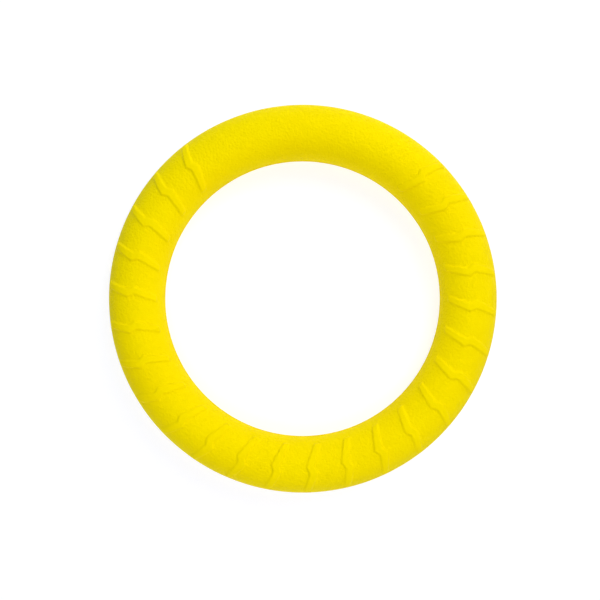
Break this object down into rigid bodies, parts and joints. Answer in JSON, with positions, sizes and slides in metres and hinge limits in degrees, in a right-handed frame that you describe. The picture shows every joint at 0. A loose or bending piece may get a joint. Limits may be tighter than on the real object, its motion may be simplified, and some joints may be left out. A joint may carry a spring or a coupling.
{
  "type": "flying ring",
  "caption": "Round foam throwing ring with a thick round tube, raised wave ribs for grip on both faces and one plain stretch to hold or bite.",
  "frame": {"origin": "centre of the ring, on its axis and in its mid-plane", "axes": "+Z along the ring's axis, out of one of its two like faces; +Y through the middle of the plain stretch without ribs"},
  "size_m": [0.28, 0.28, 0.0424],
  "materials": {
    "moulded_skin": "matt closed-cell foam skin with a fine moulded leather grain",
    "seam": "matt, smooth trimmed flash of the same foam",
    "foam_core": "fine closed cells, cut face",
    "adhesive": "cured contact adhesive"
  },
  "bodies": {
    "root": {"foam_core_upper": "foam_core", "foam_core_lower": "foam_core", "glue_film": "adhesive", "upper_skin": "moulded_skin", "lower_skin": "moulded_skin", "outer_seam": "seam", "inner_seam": "seam"}
  },
  "joints": []
}
